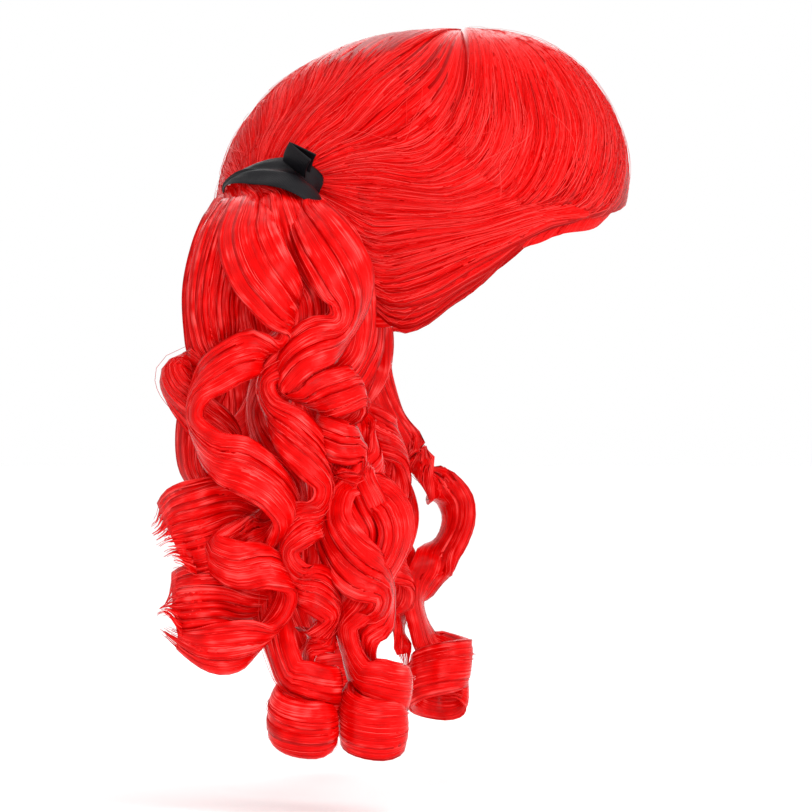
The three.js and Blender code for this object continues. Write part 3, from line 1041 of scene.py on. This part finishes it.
def root_shell(steps=36, sides=96):
    """Ovals along the root, a little inside it, with a groove for each pressed tuft."""
    share = np.linspace(0, 1, steps)
    stations = np.einsum("sk,kc->sc", curve_weights(share, len(ROOT_STATIONS)), ROOT_STATIONS)
    turn = 2 * np.pi * np.arange(sides) / sides
    groove = -ROOT_INSET - ROOT_GROOVE * np.cos(ROOT_TUFTS * turn)
    rings = oval_point(stations[:, None], turn[None], groove[None])
    chart = paired(ROOT_GIRTH * turn / (2 * np.pi), ROOT_LENGTH * share[:, None])
    return ring_shell(rings, chart, SHADED_ROOT_TONE)


for side in ("right", "left"):
    shell = on_side(side, root_shell())
    put_piece(f"bunch_root_{side}", shell, red_hair, [f"bunch_neck_{side}"])
print("two gathered roots")

# %% [markdown]
# ## The ribbon
# A satin ribbon three quarters of an inch wide goes once round the root and is tucked under
# itself. Its end is folded narrower and stands up. Cloth that is pulled tight round a bundle keeps
# its length but crumples a little across, so the band is a grid of turn and width with soft
# creases that run round it. A thin wall closes it.

# %% Ribbon band and fold
BAND_WIDTH, END_WIDTH = 0.019, 0.0127
RIBBON_CLEAR, RIBBON_WALL = 0.7, 0.5
BAND_TURNS = (-0.75 * np.pi, 1.35 * np.pi)
BAND_INNER, BAND_OUTER = (2.6, -1.15), (4.45, 0.4)
BAND_WAVER, WAVER_TURNS, WAVER_TWIST = 0.04, 3, 2
# Each crease: its height, folds across the band, drift, waves round it and where those start.
CREASES = [(0.55, 1.7, 0.3, 2, 0), (0.3, 3.6, 0.4, 3, 1)]
CREASE_ROOM, CREASE_SIZE, FLAT_EDGE = 0.6, 0.8, 4
OVERLAP_RISE, OVERLAP_TURNS = 0.9, (0.95 * np.pi, 1.3 * np.pi)
NECK_RISE, NECK_PLACE = 1.6, 2.0
BAND_FLARE, BAND_TUCK, FLARE_SPAN = 13.0, 1.5, (0.25, 1)


def cloth_wall(grid, normal, wall, chart):
    """A closed sheet of cloth: the grid, and the same grid moved by the wall along its normal."""
    return outward_shell(slab(grid + normal * wall, grid, chart, MIDDLE_TONE))


def band_shell(turn_steps=120, width_steps=18):
    """Ovals between an inner and an outer edge, level + slant*cos(turn), with drifting creases.

    The outer edge flares by a squared cosine in front, over the hair that swells there."""
    turn = np.linspace(*BAND_TURNS, turn_steps)[:, None]
    share = np.linspace(0, 1, width_steps)[None]
    ahead = np.cos(turn)
    edges = [level + slant * ahead for level, slant in (BAND_INNER, BAND_OUTER)]
    place = mix(*edges, share) + BAND_WAVER * np.sin(WAVER_TURNS * turn + WAVER_TWIST * share)
    crease = sum(
        high * np.sin(2 * np.pi * (folds * share + drift * np.sin(waves * turn + start)))
        for high, folds, drift, waves, start in CREASES
    )
    inside = 1 - np.abs(2 * share - 1) ** FLAT_EDGE
    over = OVERLAP_RISE * ease(turn, *OVERLAP_TURNS)
    grow = RIBBON_CLEAR + CREASE_ROOM + CREASE_SIZE * crease * inside + over
    flare = BAND_FLARE * np.maximum(ahead, 0) ** 2 - BAND_TUCK * np.maximum(-ahead, 0)
    grow = grow + NECK_RISE * np.clip(NECK_PLACE - place, 0, 1) + flare * ease(share, *FLARE_SPAN)
    full = turn + 0 * share
    grid = oval_point(station_at(place), full, grow)
    normal = unit(oval_point(station_at(place), full, grow + 1.0) - grid)
    round_way = np.linalg.norm(np.diff(grid[:, width_steps // 2], axis=0), axis=1).sum()
    chart = paired(BAND_WIDTH / MM * share, round_way * (turn - turn[0]) / np.ptp(turn))
    return cloth_wall(grid, normal, RIBBON_WALL, chart), round_way


band, band_length = band_shell()
print("ribbon round the root, mm", round(float(band_length), 1))
FOLD = {
    "width": 13, "length": 15, "rise": 3.2,
    "forward": 27.8, "up": 12.1, "low": -3, "turn": 142,
}
FOLD_POWER, FOLD_CURL, CURL_PACE = 1.6, 0.4, 2.2
FOLD_RIPPLE, RIPPLE_ACROSS, RIPPLE_ALONG = 0.4, 2.5, 2


def fold_shell(steps=40, width_steps=12):
    """A strip that runs out and back: reach is 1-|b|^1.6 and height rises with b from -1 to 1."""
    bend = (np.linspace(0, 1, steps) * 2 - 1)[:, None]
    edge = np.linspace(-1, 1, width_steps)[None]
    turn, half = math.radians(FOLD["turn"]), FOLD["width"] / 2
    curl = FOLD_CURL * np.cos(CURL_PACE * edge)
    reach = FOLD["length"] * (1 - np.abs(bend) ** FOLD_POWER) + curl
    ripple = FOLD_RIPPLE * np.sin(RIPPLE_ACROSS * edge + RIPPLE_ALONG * bend)
    height = FOLD["low"] + FOLD["rise"] * (1 + bend) + ripple
    forward = FOLD["forward"] + math.cos(turn) * reach - math.sin(turn) * edge * half
    up = FOLD["up"] + math.sin(turn) * reach + math.cos(turn) * edge * half
    grid = in_frame(station_frame((WAIST + BRIM) / 2), forward, up, height)
    path = grid[:, width_steps // 2]
    heading = unit(np.gradient(path, axis=0))
    sideways = unit(grid[:, -1] - grid[:, 0])
    normal = unit(np.cross(heading, sideways))[:, None] + 0 * grid
    length = np.linalg.norm(np.diff(path, axis=0), axis=1).sum()
    chart = paired(half * (1 + edge), length * (1 + bend) / 2)
    return cloth_wall(grid, normal, RIBBON_WALL, chart), length


fold, fold_length = fold_shell()
for side in ("right", "left"):
    shell = on_side(side, band)
    band_piece = put_piece(
        f"ribbon_{side}", shell, black_satin, [f"ribbon_band_{side}"]
    )
    shell = on_side(side, fold)
    fold_piece = put_piece(
        f"ribbon_end_{side}", shell, black_satin, [f"ribbon_fold_{side}"]
    )
print("folded end, mm", round(float(fold_length), 1))

# %% [markdown]
# ## Ringlets
# Each bunch is seven ringlets, and a ringlet is one or two locks that swing from side to side as
# they fall. A hairdresser would set each wave by hand, so each lock here is a row of knots: how
# far back, how high, how far out from the middle of the head, and half its width, all in
# millimetres. A Catmull-Rom curve runs through them. Two locks end in a barrel, nearly two turns
# round an upright line.

# %% The knots of the locks
# For each lock: its place round the root in degrees, and its knots.
LOCK_KNOTS = {
    "7a": (50, [
        (65, 10, 100, 8), (60, 1, 120, 10.5), (52, -12, 139, 14.5), (43, -28, 146, 16),
        (39, -43, 143, 14.5), (43, -56, 143, 12.5), (55, -65, 147, 12.5), (66, -75, 148, 12.5),
        (69, -85, 142, 12), (59, -90, 143, 11.5), (44, -88, 147, 11.5), (35, -86, 138, 10.5),
        (37, -94, 126, 9.5), (47, -99, 128, 9.5), (52, -106, 134, 10), (43, -113, 142, 11),
        (34, -117, 136, 11), (36, -128, 134, 11), (44, -139, 138, 13), (46, -152, 140, 15),
        (41, -165, 141, 15.5), (32, -178, 140, 14.5), (23, -187, 136, 12.5), (24, -198, 132, 11.5),
        (30, -209, 128, 11), (28, -221, 122, 10.5), (25, -234, 120, 9.5), (24, -246, 120, 8),
    ]),
    "7b": (15, [
        (61, 6, 96, 8), (55, -1, 108, 10), (44, -15, 124, 11), (38, -34, 127, 11),
        (36, -51, 124, 10.5), (38, -66, 120, 10), (45, -78, 116, 10), (50, -91, 112, 10),
        (44, -104, 112, 10), (37, -118, 116, 10.5), (36, -132, 124, 11), (32, -146, 130, 13),
        (28, -159, 131, 13), (32, -175, 127, 11.5), (42, -190, 114, 10.5), (45, -204, 116, 10),
    ]),
    "3a": (110, [
        (88, 10, 98, 8), (88, 1, 120, 11.5), (88, -12, 138, 15.5), (82, -28, 148, 16.5),
        (73, -42, 147, 15), (68, -54, 138, 12.5), (75, -64, 136, 11.5), (87, -69, 142, 12),
        (101, -77, 147, 12), (112, -89, 146, 12.5), (114, -103, 146, 13), (105, -117, 150, 14),
        (89, -126, 152, 14), (75, -137, 150, 13), (69, -150, 143, 12), (80, -161, 132, 11),
        (97, -159, 136, 11.5), (105, -167, 142, 12), (94, -174, 148, 12.5), (78, -175, 147, 12),
        (70, -183, 137, 11.5), (72, -195, 134, 13), (80, -208, 136, 14), (92, -214, 143, 15),
        (107, -216, 144, 15), (120, -213, 138, 13.5), (133, -206, 128, 11),
    ]),
    "3b": (82, [
        (77, 11, 102, 8), (74, 2, 118, 10.5), (70, -12, 126, 13), (64, -29, 130, 13),
        (58, -44, 134, 12), (60, -59, 136, 11), (71, -71, 138, 11), (79, -84, 138, 11),
        (76, -96, 140, 11), (66, -109, 144, 11.5), (56, -122, 144, 11.5), (51, -134, 141, 11.5),
        (53, -146, 141, 11), (62, -156, 143, 11), (68, -167, 141, 11), (64, -179, 141, 11.5),
        (53, -187, 140, 11.5), (47, -197, 134, 11), (52, -208, 130, 11), (58, -219, 126, 10.5),
        (60, -233, 126, 9.5), (60, -246, 126, 8),
    ]),
    "4a": (150, [
        (96, 8, 88, 7.5), (98, 0, 106, 10), (101, -12, 124, 12.5), (104, -28, 130, 13.5),
        (106, -44, 130, 13), (106, -59, 127, 12), (107, -69, 120, 10.5), (115, -74, 120, 10),
        (126, -76, 122, 11), (125, -85, 124, 11), (114, -98, 122, 10), (100, -114, 116, 10.5),
        (90, -131, 112, 12), (88, -145, 116, 15), (98, -149, 129, 20), (110, -154, 138, 23.5),
        (122, -158, 133, 23), (134, -165, 132, 19),
    ]),
    "4b": (185, [
        (100, 8, 78, 8), (102, -2, 92, 10), (106, -18, 104, 11.5), (110, -38, 110, 11.5),
        (110, -60, 110, 11), (109, -77, 106, 10.5), (113, -94, 110, 10.5), (115, -110, 114, 11),
        (114, -126, 114, 11), (106, -138, 108, 11), (94, -153, 104, 11), (83, -171, 108, 12),
        (79, -189, 118, 13), (88, -193, 128, 15.5), (101, -192, 134, 17), (113, -192, 138, 18.5),
        (124, -194, 132, 18), (133, -199, 131, 15),
    ]),
    "1a": (-20, [
        (60, 5, 88, 8), (53, -4, 92, 10), (44, -26, 98, 11), (40, -51, 98, 11), (46, -76, 98, 11),
        (46, -102, 100, 11), (37, -122, 104, 10.5), (32, -136, 112, 11), (23, -142, 122, 12),
        (17, -148, 128, 12), (15, -159, 129, 12), (19, -171, 128, 12.5), (28, -183, 127, 12.5),
        (36, -194, 130, 12.5), (40, -206, 127, 12),
    ]),
    "2a": (-60, [
        (72, -1, 76, 8), (69, -11, 82, 10), (64, -32, 90, 11), (66, -57, 94, 11),
        (76, -79, 98, 11), (83, -99, 102, 11), (76, -119, 108, 11), (67, -138, 114, 11.5),
        (72, -157, 118, 12), (78, -174, 122, 12), (78, -189, 125, 12.5), (76, -204, 127, 12),
    ]),
    "5a": (-45, [
        (56, 3, 78, 8), (49, -6, 70, 10), (39, -31, 68, 11), (32, -56, 70, 12), (38, -75, 80, 12),
        (47, -91, 74, 12), (38, -108, 64, 12), (26, -124, 70, 12), (34, -142, 82, 12),
        (45, -159, 74, 12), (35, -176, 64, 12), (25, -190, 72, 12), (32, -204, 80, 12),
        (41, -212, 72, 10),
    ]),
    "6a": (-120, [
        (83, 2, 64, 8), (87, -9, 60, 10), (92, -32, 60, 11), (89, -59, 64, 12), (79, -82, 70, 12),
        (84, -102, 82, 12), (96, -119, 74, 12), (92, -138, 62, 12), (79, -154, 70, 12),
        (87, -172, 82, 12), (97, -189, 72, 12), (89, -205, 62, 12), (80, -214, 72, 10),
    ]),
}
# The middle of each barrel: how far back, how high and how far out.
BARRELS = {"1a": (25, -238, 120), "2a": (60, -238, 126)}
BARREL = {"radius": 15, "turns": 1.75, "drop": 34, "from": 180, "half": 14.5}
# How far forward the foot of each ringlet of the left bunch swings.
LEFT_SWING = {"1": 34, "2": 4, "3": 10, "4": 4, "5": 14, "6": 6, "7": 14}
SWING_SPAN = (0, 150)
LEAD_PLACES, LEAD_INSIDE, LEAD_HALF = (2.4, 3.9), (7.5, 6.0), 6.0
KNOTS_PER_TURN = 8
BARREL_TILT, BARREL_EASE = 0.25, 2.2
TIGHT_START, NARROW_START, START_SPAN = 0.75, 0.85, (0, 0.5)
CURLED_IN, CURLED_SPAN = 0.3, (0.8, 1)
print(len(LOCK_KNOTS), "locks in each bunch")

# %% [markdown]
# ## The line of a lock
# A lock is flat, and it lies against the coil that it was rolled on. Its coil has no line of its
# own here, but the lock's path averaged over one turn runs down the middle of it, so the flat side
# faces away from that average. A little is added outwards, so that straight falls show their broad
# side.

# %% Paths of locks
COIL_SPAN = 70.0
OUTWARD_BIAS, BIAS_SPAN = (9.0, 3.0), (90, 160)
DENSE = 1200


def barrel_knots(back, down, out):
    """A falling circle: radius * cos and sin of the turn. It falls steeply first and levels out."""
    turn = np.arange(1, BARREL["turns"] * KNOTS_PER_TURN + 1) / KNOTS_PER_TURN
    share = turn / BARREL["turns"]
    angle = np.radians(BARREL["from"]) - 2 * np.pi * turn
    begun = ease(share, *START_SPAN)
    reach = BARREL["radius"] * (mix(TIGHT_START, 1, begun) - CURLED_IN * ease(share, *CURLED_SPAN))
    fallen = 1 - (1 - share) ** BARREL_EASE
    return np.stack(
        [
            back - reach * np.cos(angle),
            down + BARREL["drop"] * (0.5 - fallen) - BARREL_TILT * reach * np.sin(angle),
            out + reach * np.sin(angle),
            BARREL["half"] * mix(NARROW_START, 1, begun),
        ],
        -1,
    )


def lock_knots(name, swing):
    """Places and half widths: two knots under the ribbon, the lock's own, and its barrel if any.

    swing moves the foot of the lock forwards, in step with how far each knot has dropped."""
    turn, knots = LOCK_KNOTS[name]
    rows = np.array(knots, float)
    if name in BARRELS:
        rows = np.concatenate([rows, barrel_knots(*BARRELS[name])])
    rows[:, 0] -= swing * ease(-rows[:, 1], *SWING_SPAN)
    places = np.stack([-rows[:, 2], rows[:, 0], rows[:, 1]], -1)
    lead = oval_point(
        station_at(np.array(LEAD_PLACES)), np.full(2, math.radians(turn)), -np.array(LEAD_INSIDE)
    )
    half = np.concatenate([np.full(2, LEAD_HALF), rows[:, 3]])
    return np.column_stack([np.concatenate([lead, places]), half])


def lock_line(name, swing, steps):
    """Path, half width and facing at even steps along a lock, and the share of its length."""
    knots = lock_knots(name, swing)
    dense = curve_weights(np.linspace(0, 1, DENSE), len(knots)) @ knots
    length = walked(dense[:, :3], 0)
    even = np.linspace(0, length[-1], DENSE)
    dense = np.stack([np.interp(even, length, dense[:, k]) for k in range(4)], -1)
    span = int(DENSE * COIL_SPAN / length[-1] / 2)
    padded = np.pad(dense[:, :3], ((span, span), (0, 0)), mode="reflect")
    total = np.concatenate([np.zeros((1, 3)), np.cumsum(padded, axis=0)])
    middle = (total[2 * span + 1 :] - total[: -2 * span - 1]) / (2 * span + 1)
    bias = mix(*OUTWARD_BIAS, ease(even, *BIAS_SPAN))
    facing = dense[:, :3] - middle + bias[:, None] * np.array([-1, 0, 0])
    picked = np.linspace(0, DENSE - 1, steps).round().astype(int)
    return dense[picked, :3], dense[picked, 3], unit(facing[picked]), picked / (DENSE - 1)


print("a lock's first knots", np.round(lock_knots("7a", 0)[:3], 1).tolist())

# %% [markdown]
# ## Dressing a lock
# One smooth oval body would look moulded, so the body has shallow ridges along it, a few flat
# tufts lie half sunk in it and drift across, and thin strands waver over all of them. Towards the
# tip every layer narrows, and tufts and strands end at different lengths.

# %% Bodies, tufts and strands
BODY_SIDES, TUFT_SIDES = 28, 4
LOCK_FLATNESS = 0.4
THICKEST = 4.6
END_THINNING, THINNING_SPAN = 0.6, (0.86, 1)
RAGGED_LOCKS = {"4a": 0.024, "4b": 0.022}
RAGGED_TUFTS, RAGGED_STRANDS = 3, 2
TIDY_ENDS = 0.02
TIP_TAPER, TIP_TAPER_SPAN = 0.75, (0.91, 1)
CUT_STATIONS = 10
BODY_CUT = 1.4
BODY_NARROWING, NARROWING_SPAN = 0.45, (0.97, 1)
# Waves round the body: how many, how high, and how far each drifts along the lock.
BODY_WAVES = [(5, 0.016, 3), (9, 0.01, -4), (13, 0.007, 6)]
# Painted shade: the lock's body, under its tufts and strands, is a slightly darker tone.
SHADED_LOCK_BODY_TONE, BODY_SHIFT = 0.45, 37.0
SIDE_WAVER = 0.1
TUFT_REACH, TUFT_DEPTHS, TUFT_WIDTHS = 0.85, (0.93, 1.05), (1.6, 3.4)
TUFT_LEAST, TUFT_NARROWING, TUFT_SPAN = 0.4, 0.92, (0.95, 1)
TUFT_THINNESS, TUFT_WALL = 0.1, 0.05
TUFT_TONE, TUFT_TONE_SPREAD = 0.5, 0.13
CLEAR_SHARE, CLEAR_WAVER, LYING_WAVER = 0.3, 0.5, 0.06
STRAND_SIZES, STRAND_SIDES = (0.11, 0.17), 3
# The face of the lock that each lies on by chance, 1 for the outer one.
TUFT_FACES, STRAND_FACES = (-1, 1, 1), (-1, 1, 1, 1)
TUFT_EDGE, STRAND_EDGE, STRAND_OVAL = 0.05, 0.02, 1.04


def beside(line, side, off):
    """Paths moved across the lock by side half widths and out of it by off half thicknesses."""
    path, half, facing, share = line
    heading = unit(np.gradient(path, axis=0))
    across = unit(np.cross(heading, facing))
    out = np.cross(across, heading)
    thinning = 1 - END_THINNING * ease(share, *THINNING_SPAN)
    thick = np.minimum(LOCK_FLATNESS * half, THICKEST) * thinning
    moved = path + across * (side * half)[..., None] + out * (off * thick)[..., None]
    return moved, np.broadcast_to(out, moved.shape), half, thick


def cut_short(values, ends):
    """Each row of values drawn in over its last stations, so that it stops at its own share."""
    last = values.shape[1] - 1
    index = np.arange(last + 1)
    drawn_in = np.clip((index - last + CUT_STATIONS) / CUT_STATIONS, 0, 1)
    places = index - (1 - ends[:, None]) * last * drawn_in
    low = np.minimum(places.astype(int), values.shape[1] - 2)
    part = (places - low)[..., None]
    row = np.arange(len(values))[:, None]
    return values[row, low] * (1 - part) + values[row, low + 1] * part


def lock_body(line, seed):
    """An oval tube whose radius is 1 plus sines of the angle that drift along the lock."""
    share = line[3][None]
    narrow = 1 - BODY_NARROWING * ease(share, *NARROWING_SPAN)
    path, facing, half, thick = beside(line, 0 * share, 0 * share)
    turn = 2 * np.pi * np.arange(BODY_SIDES) / BODY_SIDES
    ridge = 1 + sum(
        high * np.sin(pace * turn + drift * share[..., None] + pace * seed)
        for pace, high, drift in BODY_WAVES
    )
    tone, shift = np.array([SHADED_LOCK_BODY_TONE]), np.array([BODY_SHIFT * seed])
    return tubes(path, facing, half * narrow, thick * narrow, BODY_SIDES, tone, shift, ridge)


def lock_tufts(line, dice, count, ends):
    """Flat tufts half sunk in the oval body: out is sqrt(1 - side^2), on either face of it."""
    share = line[3][None]
    side = np.linspace(-TUFT_REACH, TUFT_REACH, count)[:, None]
    side = side + SIDE_WAVER * wander(dice, count, share, 2)
    lying = np.sqrt(np.maximum(1 - side**2, TUFT_EDGE)) * dice.choice(TUFT_FACES, (count, 1))
    path, facing, half, _ = beside(line, side, lying * dice.uniform(*TUFT_DEPTHS, (count, 1)))
    broad = dice.uniform(*TUFT_WIDTHS, (count, 1)) * mix(TUFT_LEAST, 1, half / half.max())
    wide = broad * (1 - TUFT_NARROWING * ease(share, *TUFT_SPAN))
    thick = TUFT_THINNESS * wide + TUFT_WALL
    look = own_look(dice, count, TUFT_TONE, TUFT_TONE_SPREAD)
    return tubes(cut_short(path, ends), cut_short(facing, ends), wide, thick, TUFT_SIDES, *look)


def lock_strands(line, dice, count, ends):
    """Single strands that waver over the faces of the lock, a few of them standing clear of it."""
    share = line[3][None]
    side = dice.uniform(-1, 1, (count, 1)) + SIDE_WAVER * wander(dice, count, share, 3)
    height = np.sqrt(np.maximum(STRAND_OVAL - side**2, STRAND_EDGE))
    lying = height * dice.choice(STRAND_FACES, (count, 1))
    clear = np.where(dice.uniform(0, 1, (count, 1)) < CLEAR_SHARE, CLEAR_WAVER, LYING_WAVER)
    path, facing, _, _ = beside(line, side, lying + clear * wander(dice, count, share, 3))
    thin = dice.uniform(*STRAND_SIZES, (count, 1)) + 0 * path[..., 0]
    look = own_look(dice, count, HIGHLIGHT_STRAND_TONE, TONE_SPREAD)
    return tubes(cut_short(path, ends), cut_short(facing, ends), thin, thin, STRAND_SIDES, *look)


def lock_shell(name, swing, seed, strands, steps=104, tufts=6):
    """Body, tufts and strands of a lock. A tidy one tapers at its tip, a ragged one has more."""
    dice = np.random.default_rng(seed)
    line = lock_line(name, swing, steps)
    uneven = RAGGED_LOCKS.get(name, TIDY_ENDS)
    if name in RAGGED_LOCKS:
        tufts, strands = RAGGED_TUFTS * tufts, RAGGED_STRANDS * strands
    else:
        path, half, facing, share = line
        line = path, half * (1 - TIP_TAPER * ease(share, *TIP_TAPER_SPAN)), facing, share
    body_steps = round(steps * (1 - BODY_CUT * uneven))
    return join_shells(
        lock_body([values[:body_steps] for values in line], seed),
        lock_tufts(line, dice, tufts, 1 - uneven * dice.uniform(0, 1, tufts)),
        lock_strands(line, dice, strands, 1 - uneven * dice.uniform(0, 1, strands)),
    )


# %% [markdown]
# ## Both bunches
# The left bunch is the mirror of the right one, with its feet swung a little further forward, and
# every ringlet has its own chance numbers.

# %% Make the ringlets
NEAR_STRANDS, FAR_STRANDS = 22, 12
FAR_SEED = 5


def ringlet_shell(number, swing, seed, strands):
    names = [name for name in LOCK_KNOTS if name.startswith(number)]
    return join_shells(
        *[lock_shell(name, swing, seed + k, strands) for k, name in enumerate(names)]
    )


for number, swing in sorted(LEFT_SWING.items()):
    seed = 10 * int(number)
    shells = {
        "right": ringlet_shell(number, 0, seed, NEAR_STRANDS),
        "left": mirrored(ringlet_shell(number, swing, seed + FAR_SEED, FAR_STRANDS)),
    }
    for side, shell in shells.items():
        ringlet = f"ringlet_hair_{side}_{number}"
        put_piece(ringlet, shell, red_curls, [f"ringlet_{side}_{number}"])
    print("ringlet", number, "has", len(shells["right"]["triangles"]), "triangles")

# %% [markdown]
# ## Floor
# The wig is worn, so it hangs in the air. A pale floor lies below the tips, only to catch light.

# %% Floor
FLOOR_Z, FLOOR_HALF = -0.3, 12.0
FLOOR_GREY, FLOOR_WHITE, FLOOR_GLOW = (0.95, 0.95, 0.95), (0.98, 0.98, 0.98), 0.06
corners = [(x * FLOOR_HALF, y * FLOOR_HALF) for x, y in ((-1, -1), (1, -1), (1, 1), (-1, 1))]
floor_mesh = bpy.data.meshes.new("floor")
floor_mesh.from_pydata([(x, y, FLOOR_Z) for x, y in corners], [], [(0, 1, 2, 3)])
floor_finish, start = new_finish("pale_floor")
place = start.node("ShaderNodeTexCoord", out="Object")
grain = noise(start, place, scale=6.0, detail=2.0, dimensions="3D")
wear_shader(
    start,
    {
        "Base Color": blend(start, grain, FLOOR_GREY, FLOOR_WHITE),
        "Roughness": 0.7,
        "Emission Color": (1, 1, 1, 1),
        "Emission Strength": FLOOR_GLOW,
    },
)
floor_mesh.materials.append(floor_finish)
floor = bpy.data.objects.new("floor", floor_mesh)
bpy.context.collection.objects.link(floor)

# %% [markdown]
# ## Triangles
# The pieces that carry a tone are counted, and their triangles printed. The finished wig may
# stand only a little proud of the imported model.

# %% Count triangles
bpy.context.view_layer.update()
meshes = [thing.data for thing in bpy.data.objects if thing.type == "MESH"]
print("triangles added", sum(len(m.polygons) for m in meshes if "tone" in m.attributes))
